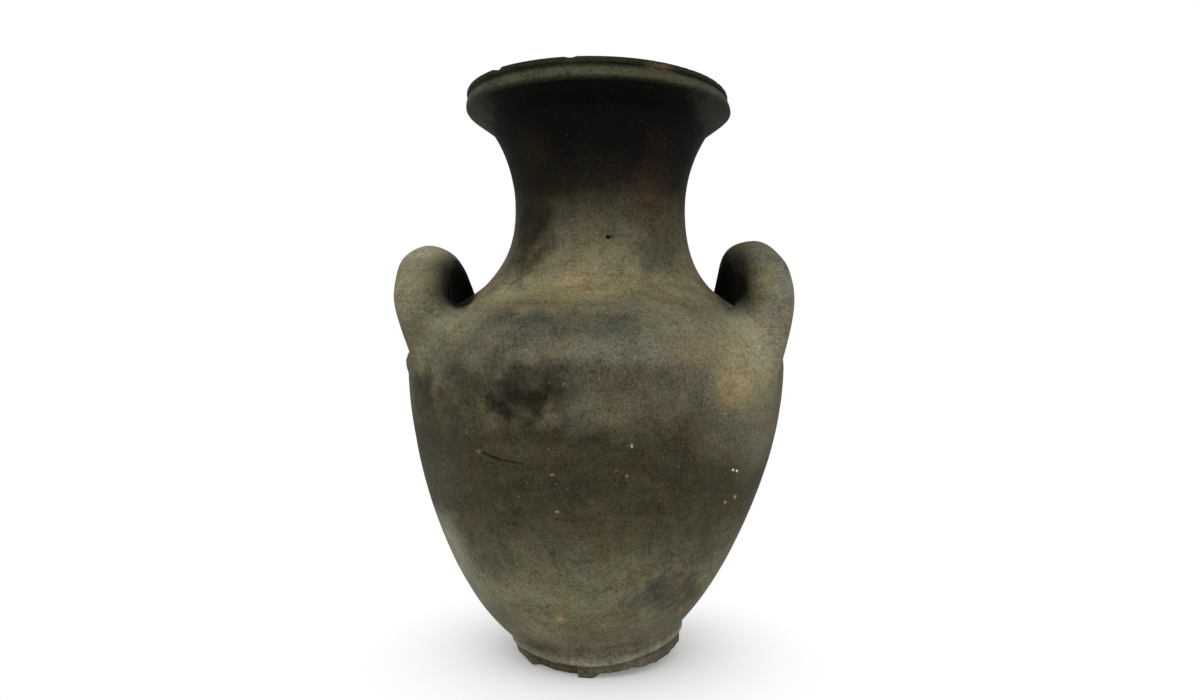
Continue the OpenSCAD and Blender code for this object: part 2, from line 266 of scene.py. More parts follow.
for step in range(knocks["count"]):   # small knocks along the lip, thickest at the right
    turn = knocks["spacing"] * step
    if step < knocks["atFront"]:
        share = step / (knocks["count"] - 1)
        turn = knocks["start"] + knocks["span"] * share ** knocks["crowding"]
    turn = math.radians(turn)
    at = (knocks["r"] * math.cos(turn), knocks["r"] * math.sin(turn), swinging("z", step))
    markRows.append((("RimRoll",), at, swinging("reach", step), swinging("deep", step, math.cos), 0))
marks = [dict(zip(("on", "at", "reach", "deep", "cuts", "to"), row)) for row in markRows]


def farFrom(p, mark):   # distance from a mark, which is a point or a line
    start = Vector(mark["at"])
    if "to" not in mark:
        return (p - start).length
    way = Vector(mark["to"]) - start
    along = min(max((p - start).dot(way) / way.length_squared, 0), 1)
    return (p - start - way * along).length


def worn(p, spots):
    for mark in spots:
        far = farFrom(p, mark)
        if far < mark["reach"]:
            ragged = 1 + wear["ragged"] * noise.noise(p * wear["grain"])
            down = wear["lipDown"] if p.z > wear["lipFrom"] else 0
            inward = Vector((p.x, p.y, 0)).normalized() + Vector((0, 0, down))
            p = p - inward.normalized() * mark["deep"] * ragged * (1 - (far / mark["reach"]) ** 2)
    return p


# Meshes

def refine(mesh, spots):   # finer faces round small marks, and every face turned outwards
    fine = bmesh.new()
    fine.from_mesh(mesh)
    for spot in spots:
        reach = spot["reach"] + wear["room"]
        near = [f for f in fine.faces if farFrom(f.calc_center_median(), spot) < reach]
        edges = list({e for f in near for e in f.edges})
        bmesh.ops.subdivide_edges(fine, edges=edges, cuts=spot["cuts"], use_grid_fill=True)
    bmesh.ops.recalc_face_normals(fine, faces=fine.faces)
    fine.to_mesh(mesh)
    fine.free()


def makeMesh(name, vertices, faces, sharp=(), leanCap=leanTop):
    mesh = bpy.data.meshes.new(name)
    mesh.from_pydata(vertices, [], faces)
    if sharp:
        corner = set(sharp)
        mesh.edges.foreach_set("use_edge_sharp", [tuple(sorted(e.vertices)) in corner for e in mesh.edges])
    spots = [m for m in marks if name in m["on"]]
    refine(mesh, [m for m in spots if m["cuts"]])
    for v in mesh.vertices:
        v.co = handMade(worn(v.co, spots), leanCap) * mm
    mesh.polygons.foreach_set("use_smooth", [True] * len(mesh.polygons))
    mesh.validate()
    piece = bpy.data.objects.new(name, mesh)
    bpy.context.scene.collection.objects.link(piece)
    return piece


def lattice(rings, looped, sharpRings=()):   # faces between rings of points, each ring closed on itself
    count = len(rings[0])
    vertices = [p for ring in rings for p in ring]
    faces, sharp = [], []
    last = len(rings) if looped else len(rings) - 1
    for i in range(last):
        a, b = i * count, ((i + 1) % len(rings)) * count
        for j in range(count):
            k = (j + 1) % count
            faces.append((a + j, a + k, b + k, b + j))
    for i in sharpRings:
        for j in range(count):
            sharp.append(tuple(sorted((i * count + j, i * count + (j + 1) % count))))
    return vertices, faces, sharp


thrown = {   # steps round the jar and along the lines of its profile
    "segments": 512, "touching": 1e-6, "lowerOut": 116, "lowerIn": 26, "shoulderOut": 60, "shoulderIn": 22,
    "neckOut": 44, "neckIn": 18, "underRoll": 22, "overRoll": 10, "lip": 16, "throat": 18,
}


def turned(profile, segments):   # rings of a profile turned round the jar's axis
    turns = [2 * math.pi * j / segments for j in range(segments)]
    circle = [(math.cos(turn), math.sin(turn)) for turn in turns]
    return [[Vector((p.x * c, p.x * s, p.y)) for c, s in circle] for p in profile]


def thrownPiece(name, parts, looped=True):   # parts are lines of the profile, sharp where they meet
    segments, touching = thrown["segments"], thrown["touching"]
    profile, corners = [], []
    for line in parts:
        if profile and (line[0] - profile[-1]).length < touching:
            line = line[1:]
        profile += line
        corners.append(len(profile) - 1)
    if looped and (profile[0] - profile[-1]).length < touching:
        profile.pop()
        corners[-1] = 0
    vertices, faces, sharp = lattice(turned(profile, segments), looped, corners)
    if not looped:   # the middle of the floor, below and above
        last = len(vertices) - segments
        faces += [tuple(range(segments)), tuple(range(last, last + segments))]
    return makeMesh(name, vertices, faces, sharp)


base = {
    "footWall": 11.0, "landIn": 3.5, "axisR": 0.02, "flatR": 6, "flatUp": 0.02,
    "sagging": [(0.35, 0.12), (0.6, 0.36), (0.85, 0.8), (1, 1)],   # shares of landR and sag
    "dish": [(0.7, 1.2), (0.35, 0.3)], "dishEdge": 1.5,   # the floor inside: share of radius, and height
}
tongueR = jar["bellyR"] - jar["wall"] / 2
bottomZ = jar["baseZ"] - jar["sag"]
floorZ = bottomZ + jar["floor"]
landR = (footHigh.x - footLow.x) / 2 - base["footWall"] - base["landIn"]


def tongueLine(height):   # the seam's tongue, or the groove that it fits, from the outside in
    wide, slim, seat = jar["tongueRoot"], jar["tongueTip"], jar["bellyZ"]
    return [flat2(tongueR + wide, seat), flat2(tongueR + slim, seat + height),
            flat2(tongueR - slim, seat + height), flat2(tongueR - wide, seat)]


def lowerBody():
    inner = insideLine(lowerCurve, thrown["lowerIn"], jar["wall"])
    inner = [p for p in inner if p.y > floorZ + base["dishEdge"]]
    middle = flat2(base["flatR"], bottomZ + base["flatUp"])
    underside = [flat2(base["axisR"], bottomZ), middle]
    underside += [flat2(r * landR, bottomZ + z * jar["sag"]) for r, z in base["sagging"]]
    dish = [flat2(r * inner[0].x, floorZ + z) for r, z in base["dish"]]
    tongue = tongueLine(jar["tongue"])
    parts = [underside + [lowerCurve[0]], curveLine(lowerCurve, thrown["lowerOut"]),
             [lowerCurve[3], tongue[0]], tongue, [tongue[3], inner[-1]],
             backward(inner) + dish + [flat2(base["axisR"], floorZ)]]
    return thrownPiece("LowerBody", parts, looped=False)


def shoulderPiece():
    inner = insideLine(shoulderCurve, thrown["shoulderIn"], jar["wall"])
    collarR, collarTop = jar["rootR"] - jar["collarIn"], jar["rootZ"] + jar["collar"]
    collarEdge = inner[-1] + flat2(-jar["collarSlope"], jar["collar"])
    parts = [curveLine(shoulderCurve, thrown["shoulderOut"]),
             [root, flat2(collarR, jar["rootZ"]), flat2(collarR, collarTop), collarEdge],
             [collarEdge] + backward(inner),
             [inner[0]] + backward(tongueLine(jar["tongue"] + jar["slip"])) + [shoulderCurve[0]]]
    return thrownPiece("Shoulder", parts)


neckInner = insideLine(flareCurve, thrown["neckIn"], jar["wall"])
neckInner += insideLine(throatCurve, thrown["neckIn"], jar["wall"])[1:]


def neckInnerAt(z):
    return float(np.interp(z, [p.y for p in neckInner], [p.x for p in neckInner]))


seatZ = jar["rootZ"] + jar["collar"] + jar["slip"]
rebateIn = neckInnerAt(jar["neckTopZ"])
rebateZ = jar["neckTopZ"] + jar["rebate"]


def neckPiece():
    top = jar["neckTopZ"]
    seatR = jar["rootR"] - jar["collarIn"] + jar["slip"]
    seatIn = flat2(neckInnerAt(seatZ), seatZ)
    inner = [p for p in neckInner if seatZ + 1 < p.y < top]
    parts = [curveLine(flareCurve, thrown["neckOut"]) + curveLine(throatCurve, thrown["neckOut"], 1),
             [neckEdge, flat2(neckEdge.x, rebateZ), flat2(rebateIn, rebateZ)],
             [flat2(rebateIn, rebateZ), flat2(rebateIn, top)] + backward(inner) + [seatIn],
             [seatIn, flat2(seatR, seatZ), flat2(seatR, jar["rootZ"]), root]]
    return thrownPiece("Neck", parts)


rimForm = {
    "roll": 13, "underOut": 7, "underUp": 0.46, "fullUp": 0.86,   # the roll's underside
    "rollUp": 4, "groove": 20.5, "grooveDepth": 2.4, "grooveEase": (0.7, 2),   # its top, into the groove
    "lipSetback": 1, "lipEase": (0.6, 0.8), "lipCrown": 0.4, "lipFlat": 4,
    "throatOut": 5, "throatBend": 4, "throatDown": 11,
}


def rimPiece():
    form, rimR, top, mouthR = rimForm, jar["rimR"], jar["topZ"], jar["mouthR"]
    rollZ, grooveZ = jar["neckTopZ"] + form["roll"], jar["neckTopZ"] + form["groove"]
    lipR, grooveR = rimR - form["lipSetback"], rimR - form["grooveDepth"]
    under = [neckEdge, neckEdge + flat2(form["underOut"], form["roll"] * form["underUp"]),
             flat2(rimR, jar["neckTopZ"] + form["roll"] * form["fullUp"]), flat2(rimR, rollZ)]
    out, down = form["grooveEase"]
    over = [under[3], flat2(rimR, rollZ + form["rollUp"]),
            flat2(grooveR + out, grooveZ - down), flat2(grooveR, grooveZ)]
    lip = [over[3], flat2(lipR + form["lipEase"][0], grooveZ + form["lipEase"][1]),
           flat2(lipR + form["lipCrown"], top), flat2(lipR - form["lipFlat"], top)]
    throat = [lip[3], flat2(mouthR + form["throatOut"], top),
              flat2(mouthR, top - form["throatBend"]), flat2(mouthR, top - form["throatDown"])]
    parts = [curveLine(under, thrown["underRoll"]) + curveLine(over, thrown["overRoll"], 1),
             curveLine(lip, thrown["lip"]) + curveLine(throat, thrown["throat"], 1),
             [throat[3], flat2(rebateIn, rebateZ)],
             [flat2(rebateIn, rebateZ), flat2(jar["neckTopR"], rebateZ), under[0]]]
    return thrownPiece("RimRoll", parts)


# Handles: oval straps pulled from a lump, their ends cut to the jar's surface

pulled = {
    "sides": 72, "steps": 150, "squarish": 0.85, "sunk": 2,
    "knead": 0.045, "kneadSize": 26, "kneadOut": 1.5,
}
pressed = {   # the clay round a root
    "steps": 14, "wobble": 0.22, "wobbleSize": 13, "overStrap": 0.12, "runs": 5, "ease": 0.7,
    "underJar": 0.15, "hollow": 0.62, "sunk": 1.0, "edgeSunk": 0.6, "middleSunk": 0.5,
}
sideGrip = {
    "span": 132, "rootUp": 23, "seat": 4.5, "legWidth": 35, "topWidth": 28.5, "thick": 19, "tail": 32,
    "tailSteps": 50, "steps": 160, "splay": 2, "bowUp": 0.55, "topRound": 0.29, "narrowFrom": 0.45,
    "crownWide": 9, "crownDown": 22, "leanCap": 250,
    "left": {"rise": 47, "inset": 15, "bow": 10, "crown": 2.2, "crownX": 115,
             "seed": 3, "lutingSeeds": (3, 12)},
    "right": {"rise": 53, "inset": 24, "bow": 8.5, "crown": 1.7, "crownX": 109,
              "seed": 17, "lutingSeeds": (17, 26)},
    "luting": {"climb": 15, "spread": 15, "downhill": -9},   # downhill it spreads that much more
}
backGrip = {
    "width": 30, "thick": 14, "drop": 17, "rootIn": 30, "inset": 9, "steps": 360, "slopeSteps": 60,
    "topSunk": 6, "rootSunk": (6, 5), "topBend": (6, 9), "bulgeDown": 4, "leanCap": leanTop,
    "seed": 31, "lutingSeeds": (33, 35),
    "luting": {"climb": 9, "spread": 8, "downhill": 0},
}


def sidePath(form, side):
    half = sideGrip["span"] / 2
    rootZ = jar["bellyZ"] + sideGrip["rootUp"]
    reach = radiusAt(rootZ) + sideGrip["seat"]
    rootX = math.sqrt(reach * reach - half * half)
    topX = jar["bellyR"] - form["inset"]
    topZ = rootZ + form["rise"]
    curve = [
        Vector((rootX, -half, rootZ)),
        Vector((rootX + form["bow"], -half - sideGrip["splay"], rootZ + sideGrip["bowUp"] * form["rise"])),
        Vector((topX, -sideGrip["topRound"] * sideGrip["span"], topZ)),
        Vector((topX, 0, topZ)),
    ]
    way = bezierWay(curve, 0)
    steps = sideGrip["tailSteps"]
    buried = [curve[0] - way * (sideGrip["tail"] * (1 - i / steps)) for i in range(steps)]
    front = buried + curveLine(curve, sideGrip["steps"])
    path = front + [Vector((p.x, -p.y, p.z)) for p in backward(front)[1:]]
    return [Vector((side * p.x, p.y, p.z)) for p in path]


def backPath():
    topZ = jar["neckTopZ"] - backGrip["drop"]
    topR = radiusAt(topZ) - backGrip["topSunk"]
    rootR = jar["bellyR"] - backGrip["rootIn"]
    slope = curveLine(shoulderCurve, backGrip["slopeSteps"])
    deep, down = backGrip["rootSunk"]
    rootZ = float(np.interp(-rootR, [-p.x for p in slope], [p.y for p in slope])) - down
    reach = jar["bellyR"] - backGrip["inset"]
    inward, upward = backGrip["topBend"]
    curve = [Vector((0, topR, topZ)), Vector((0, reach - inward, topZ + upward)),
             Vector((0, reach, (topZ + rootZ) / 2 - backGrip["bulgeDown"])),
             Vector((0, rootR - deep, rootZ))]
    return curveLine(curve, backGrip["steps"])


def squarish(wave):   # draws an oval's outline a little towards a box
    return np.sign(wave) * np.abs(wave) ** pulled["squarish"]


def strapLines(path, widths, thick, seed):   # points by place along the path and place round it
    sides = pulled["sides"]
    points = np.array([list(p) for p in path])
    ways = np.gradient(points, axis=0)
    ways /= np.linalg.norm(ways, axis=1)[:, None]
    across = np.array([1.0, 0, 0]) - ways[:, :1] * ways
    across /= np.linalg.norm(across, axis=1)[:, None]
    thin = np.cross(ways, across)
    turn = 2 * math.pi * np.arange(sides) / sides
    wide = squarish(np.cos(turn)) / 2
    high = squarish(np.sin(turn)) * thick / 2
    lines = np.empty((len(points), sides, 3))
    for k in range(len(points)):
        for j in range(sides):
            side = across[k] * wide[j] * widths[k] + thin[k] * high[j]
            spot = Vector(points[k] + pulled["kneadOut"] * side) / pulled["kneadSize"]
            knead = 1 + pulled["knead"] * noise.noise(spot + Vector((seed, 0, 0)))
            lines[k, j] = points[k] + side * knead
    return points, lines


def emerging(line, depth):   # where a line of points climbs past a depth under the jar's surface
    away, _ = clearOfJar(line)
    k = int(np.argmax(away > -depth))
    if k == 0:
        return 0.0
    return k - 1 + (-depth - away[k - 1]) / (away[k] - away[k - 1])


def atPlace(line, place):
    k = min(int(place), len(line) - 2)
    return line[k] + (line[k + 1] - line[k]) * (place - k)


def strapPiece(name, lines, leanCap):
    sides, steps = pulled["sides"], pulled["steps"]
    count = len(lines)
    third = count // 3
    rings = [[None] * sides for _ in range(steps + 1)]
    for j in range(sides):
        line = lines[:, j]
        start = emerging(line[:third], pulled["sunk"])
        end = count - 1 - emerging(line[::-1][:third], pulled["sunk"])
        for i in range(steps + 1):
            rings[i][j] = Vector(atPlace(line, start + (end - start) * i / steps))
    vertices, faces, sharp = lattice(rings, False, (0, steps))
    for ring, first, flip in ((rings[0], 0, False), (rings[-1], steps * sides, True)):
        middle = len(vertices)
        vertices.append(sum(ring, Vector()) / sides)
        for j in range(sides):
            a, b = first + j, first + (j + 1) % sides
            faces.append((a, middle, b) if not flip else (b, middle, a))
    return makeMesh(name, vertices, faces, sharp, leanCap)


def laidFlat(way, normal):   # a direction laid flat on the surface
    return (way - normal * way.dot(normal)).normalized()


def lutingSection(line, centres, form, seed):   # a soft fillet between the strap and the jar, at one place
    place = emerging(line, 0)
    contact = Vector(atPlace(line, place))
    centre = Vector(atPlace(centres, place))
    wobble = 1 + pressed["wobble"] * noise.noise(contact / pressed["wobbleSize"] + Vector((seed, 2, 5)))
    run, k = 0.0, int(place)
    above = contact
    while run < form["climb"] * wobble and k < len(line) - 2:
        k += 1
        run += (Vector(line[k]) - above).length
        above = Vector(line[k])
    above += (Vector(centres[k]) - above).normalized() * pressed["overStrap"]
    normal = jarNormal(contact)
    outward = laidFlat(contact - centre, normal)
    downhill = max(0, outward.dot(Vector((contact.x, contact.y, 0)).normalized()))
    reach = (form["spread"] + form["downhill"] * downhill ** pressed["ease"]) * wobble
    spot = contact
    for _ in range(pressed["runs"]):
        spot = ontoJar(spot + outward * reach / pressed["runs"])
        normal = jarNormal(spot)
        outward = laidFlat(outward, normal)
    spot = spot - normal * pressed["underJar"]
    curve = [above, above.lerp(contact, pressed["hollow"]), spot.lerp(contact, pressed["hollow"]), spot]
    sunk = contact - (jarNormal(contact) + (contact - centre).normalized()) * pressed["sunk"]
    return curveLine(curve, pressed["steps"]) + [
        spot - normal * pressed["edgeSunk"],
        (spot + sunk) / 2 - normal * pressed["middleSunk"],
        sunk,
        (above + sunk) / 2 + (centre - contact).normalized() * pressed["middleSunk"],
        above + (centre - above).normalized() * pressed["edgeSunk"],
    ]


def lutingPiece(name, lines, centres, form, seeds, leanCap):   # one closed ring of sections at each root
    vertices, faces = [], []
    third = len(lines) // 3
    for way, seed in zip((1, -1), seeds):
        near, middles = lines[::way][:third], centres[::way][:third]
        sections = [lutingSection(near[:, j], middles, form, seed) for j in range(pulled["sides"])]
        part, quads, _ = lattice(sections, True)
        offset = len(vertices)
        vertices += part
        faces += [tuple(i + offset for i in quad) for quad in quads]
    return makeMesh(name, vertices, faces, (), leanCap)


def sideHandle(name, form, side):
    path = sidePath(form, side)
    wider = sideGrip["legWidth"] - sideGrip["topWidth"]
    legY = sideGrip["narrowFrom"] * sideGrip["span"]
    widths = [sideGrip["topWidth"] + wider * min(1, abs(p.y) / legY) for p in path]
    centres, lines = strapLines(path, widths, sideGrip["thick"], form["seed"])
    across, up = lines[:, :, 0] * side - form["crownX"], lines[:, :, 2]
    crown = form["crown"] * np.exp(-(across / sideGrip["crownWide"]) ** 2)
    lines[:, :, 2] += crown * smooth((up - up.max() + sideGrip["crownDown"]) / sideGrip["crownDown"])
    cap = sideGrip["leanCap"]
    strap = strapPiece(name, lines, cap)
    return strap, lutingPiece(name + "Luting", lines, centres, sideGrip["luting"], form["lutingSeeds"], cap)


def backHandle(name):
    path = backPath()
    centres, lines = strapLines(path, [backGrip["width"]] * len(path), backGrip["thick"], backGrip["seed"])
    cap = backGrip["leanCap"]
    strap = strapPiece(name, lines, cap)
    seeds = backGrip["lutingSeeds"]
    return strap, lutingPiece(name + "Luting", lines, centres, backGrip["luting"], seeds, cap)


# The foot ring, broken along the front, and the clay pressed round it

foot = {
    "shift": 3, "shiftZ": 10, "outerR": 57, "innerR": 46, "turns": 640, "wallSteps": 18, "breakSteps": 7,
    "innerSteps": 4, "sunk": 1.2, "sunkMiddle": 0.6,
    "outside": [(0, 53.5), (1, 54.5), (6, 56.2), (10, 57)],   # height, and radius
    "broken": [(-180, 1), (-167, 3.2), (-151, 4.8), (-144, 2), (-138, 0.5), (-119, 0.1), (-106, 0.3),
               (-103, 0), (-94, 0), (-88, 3.5), (-80, 4.6), (-72, 5.5), (-60, 6), (-48, 6), (-36, 8),
               (-23, 11), (-14, 10.5), (-5, 7), (6, 4), (14, 0), (180, 0)],   # degrees, and height
    "roughFrom": 1.5, "breakCrown": 1.2,
    "spall": (-141, -103), "spallEnds": (2.5, 1.2), "spallDepth": 5.5, "spallDown": 2.6, "spallEase": 1.2,
    "edgeGrain": [(9, 0, 0.9), (31, 3, 0.5)],   # how often, height in the noise, and depth
    "spallGrain": [(4.5, 0.9), (1.8, 0.35)],   # size in place of how often
    "breakGrain": [(3.6, 9, 1.3), (1.5, 5, 0.5)],
}
footX = foot["shift"] - float(leanTable[foot["shiftZ"]])
lowR = outlineR[:fineness["lower"] + 1]
lowZ = outlineZ[:fineness["lower"] + 1]


def junction(turn, r):   # the height at which the ring's wall meets the body
    x, y = footX + r * math.cos(turn), r * math.sin(turn)
    return float(np.interp(math.hypot(x, y), lowR, lowZ))


def between(table, value):   # a table of pairs, read in between
    return float(np.interp(value, [a for a, _ in table], [b for _, b in table]))


def footRing():
    outerR, innerR, turns = foot["outerR"], foot["innerR"], foot["turns"]
    rings = []
    for i in range(turns):
        turn = 2 * math.pi * i / turns - math.pi
        degrees = math.degrees(turn)
        c, s = math.cos(turn), math.sin(turn)
        low = between(foot["broken"], degrees)
        rough = min(1, low / foot["roughFrom"])
        grain = [deep * noise.noise(Vector((c, s, up)) * often) for often, up, deep in foot["edgeGrain"]]
        low += rough * sum(grain)
        low = max(0, low)
        top = junction(turn, outerR)
        high = top + foot["sunk"]
        spallAt = float(smooth((degrees - foot["spall"][0]) / foot["spallEnds"][0])
                        * smooth((foot["spall"][1] - degrees) / foot["spallEnds"][1]))
        section = []
        for k in range(foot["wallSteps"] + 1):
            z = high - k / foot["wallSteps"] * (high - low)
            cut = spallAt * float(smooth((top - foot["spallDown"] - z) / foot["spallEase"]))
            spot = Vector((outerR * c, outerR * s, z))
            grain = sum(deep * noise.noise(spot / size) for size, deep in foot["spallGrain"])
            section.append((between(foot["outside"], z) - cut * (foot["spallDepth"] + grain), z))
        edgeR = section[-1][0]
        for k in range(1, foot["breakSteps"] + 1):
            t = k / foot["breakSteps"]
            r = edgeR + (innerR - edgeR) * t
            grain = foot["breakCrown"] * math.sin(math.pi * t)
            for size, up, deep in foot["breakGrain"]:
                grain += deep * noise.noise(Vector((r * c, r * s, up)) / size)
            z = max(0, low + rough * grain)
            section.append((r, z))
        roof = junction(turn, innerR) + foot["sunk"]
        for k in range(1, foot["innerSteps"] + 1):
            section.append((innerR, z + (roof - z) * k / foot["innerSteps"]))
        section.append(((innerR + outerR) / 2, (roof + high) / 2 + foot["sunkMiddle"]))
        rings.append([Vector((footX + r * c, r * s, z)) for r, z in section])
    vertices, faces, sharp = lattice(rings, True)
    return makeMesh("FootRing", vertices, faces, sharp)


band = {
    "turns": 512, "up": 3.0, "down": 3.0, "wobble": 0.2, "wobbles": 5, "wobbleSeed": 2, "sunk": 0.1,
    "below": 1, "neckOut": 1.2, "neckUp": 0.3, "beadSteps": 9, "skirtSteps": 8,
    "beadOut": (2.6, 1.3), "beadDown": (0.1, 1), "skirtDown": (0.35, 0.4), "skirtTop": (1.2, 0.3),
    "skirtOut": 0.5, "behind": 0.8, "behindCorner": 1.2,
    "lowest": [(-180, 12.4), (-160, 13.2), (-144, 13), (-117, 10.9), (-93, 10.7), (-77, 12), (-55, 15.8),
               (-30, 19.4), (0, 21.4), (180, 12.4)],   # degrees round the foot, and how high the skirt ends
    "beadFloorLight": [0, 0, 0.2, 0.6, 1, 1, 1, 1, 0.9, 0.7, 0.4, 0.2] + [0] * 9,   # how much painted floor light each line of the bead takes
}


def footLuting():   # a rounded band, carried down the foot's wall at the front by a skirt of clay
    rings = []
    for i in range(band["turns"]):
        turn = 2 * math.pi * i / band["turns"] - math.pi
        out = Vector((math.cos(turn), math.sin(turn), 0))
        up = Vector((0, 0, 1))
        z = junction(turn, foot["outerR"])
        wobble = 1 + band["wobble"] * noise.noise(out * band["wobbles"] + up * band["wobbleSeed"])
        drop = max(0, z - band["below"] - between(band["lowest"], math.degrees(turn)))
        corner = Vector((footX, 0, z)) + out * foot["outerR"]
        normal = jarNormal(corner)
        climb = laidFlat(up, normal)
        high = corner + climb * band["up"] * wobble - normal * band["sunk"]
        low = corner - up * (band["down"] + drop) - out * band["sunk"]
        neck = corner + out * band["neckOut"] - up * (drop - band["neckUp"])
        bead = [low, low + out * band["beadOut"][0] * wobble - up * band["beadDown"][0],
                neck + out * band["beadOut"][1] * wobble - up * band["beadDown"][1], neck]
        lowBend = up * (band["skirtDown"][0] * drop + band["skirtDown"][1])
        highBend = normal * band["skirtOut"] - climb * (band["skirtTop"][0] + band["skirtTop"][1] * drop)
        skirt = [neck, neck + lowBend, high + highBend, high]
        section = curveLine(bead, band["beadSteps"])[:-1] + curveLine(skirt, band["skirtSteps"])
        behind = corner - normal * band["behindCorner"] - out * band["behindCorner"]
        rings.append(section + [high - normal * band["behind"], behind, low - out * band["behind"]])
    vertices, faces, _ = lattice(rings, True)
    piece = makeMesh("FootLuting", vertices, faces)
    bead = piece.data.attributes.new("bead", "FLOAT", "POINT")
    bead.data.foreach_set("value", band["beadFloorLight"] * band["turns"])
    return piece


pieces = {
    "lower_body": lowerBody(),
    "shoulder": shoulderPiece(),
    "neck": neckPiece(),
    "rim": rimPiece(),
    "foot_ring": footRing(),
    "foot_luting": footLuting(),
}
pieces["left_handle"], pieces["left_handle_luting"] = sideHandle("LeftHandle", sideGrip["left"], -1)
pieces["right_handle"], pieces["right_handle_luting"] = sideHandle("RightHandle", sideGrip["right"], 1)
pieces["back_handle"], pieces["back_handle_luting"] = backHandle("BackHandle")
print("pieces:", {o.name: len(o.data.polygons) for o in pieces.values()})


# Shader maths

class Wire:   # a node's socket that can stand in a sum or a product
    def __init__(self, tree, socket=None):
        self.tree, self.socket = tree, socket

    def node(self, kind, settings, values, output=0):
        made = self.tree.nodes.new("ShaderNode" + kind)
        for name, value in settings.items():
            if name == "stops":
                steps = made.color_ramp.elements
                while len(steps) < len(value):
                    steps.new(0.5)
                for step, (place, colour) in zip(steps, value):
                    step.position, step.color = place, colour
            else:
                setattr(made, name, value)
        for name, value in values.items():
            if isinstance(value, Wire):
                self.tree.links.new(value.socket, made.inputs[name])
            else:
                made.inputs[name].default_value = value
        return Wire(self.tree, made.outputs[output] if len(made.outputs) else None)

    def maths(self, operation, first, second=0.0):
        return self.node("Math", {"operation": operation}, {0: first, 1: second})

    def __add__(self, other):
        return self.maths("ADD", self, other)

    def __radd__(self, other):
        return self.maths("ADD", other, self)

    def __sub__(self, other):
        return self.maths("SUBTRACT", self, other)

    def __rsub__(self, other):
        return self.maths("SUBTRACT", other, self)

    def __mul__(self, other):
        return self.maths("MULTIPLY", self, other)

    def __rmul__(self, other):
        return self.maths("MULTIPLY", other, self)

    def vector(self, operation, first, second, output=0):
        return self.node("VectorMath", {"operation": operation}, {0: first, 1: second}, output)

    def scaled(self, colour, much):   # a vector or a colour times a number
        return self.node("VectorMath", {"operation": "SCALE"}, {0: colour, "Scale": much})

    def length(self):
        return self.node("VectorMath", {"operation": "LENGTH"}, {0: self}, "Value")

    def part(self, axis):   # one of x, y and z
        return self.node("SeparateXYZ", {}, {0: self}, axis)

    def step(self, low, high, first=0.0, last=1.0):   # a soft step of this value
        places = {"Value": self, "From Min": low, "From Max": high, "To Min": first, "To Max": last}
        return self.node("MapRange", {"interpolation_type": "SMOOTHSTEP"}, places)

    def blend(self, colour, other, kind="MIX"):   # this value mixes one colour into another
        settings = {"data_type": "RGBA", "blend_type": kind}
        return self.node("Mix", settings, {0: self, 6: colour, 7: other}, 2)


def tone(*screen):   # a colour written as it is read off a screen
    linear = []
    for value in screen:
        value /= 255
        linear.append(value / 12.92 if value < 0.0404 else ((value + 0.055) / 1.055) ** 2.4)
    return (*linear, 1)


def newMaterial(name):
    material = bpy.data.materials.new(name)
    material.use_nodes = True
    tree = material.node_tree
    tree.nodes.clear()
    return material, Wire(tree)


noiseApart = (37, 61, 53)   # how far one noise is moved from the next, in millimetres


def grain(place, size, detail, roughness, shift):   # noise of a size in millimetres, about 0 to 1
    moved = place.vector("ADD", place, tuple(shift * far for far in noiseApart))
    return place.node("TexNoise", {}, {"Vector": moved, "Scale": 1 / size, "Detail": detail,
                                       "Roughness": roughness})


def patch(place, warp, at, size, much, soft, ragged=0.8, to=None):   # full inside a ragged egg shape
    middle = place.vector("SUBTRACT", place, at)
    if to:   # a streak along a line
        way = Vector(to) - Vector(at)
        share = place.vector("DOT_PRODUCT", middle, way / way.length_squared, "Value")
        share = place.node("Clamp", {}, {0: share})
        middle = place.vector("SUBTRACT", middle, place.scaled(way, share))
    far = place.vector("MULTIPLY", middle, tuple(1 / r for r in size)).length()
    return (far + warp * ragged).step(1 + soft, 1 - soft, 0.0, much)
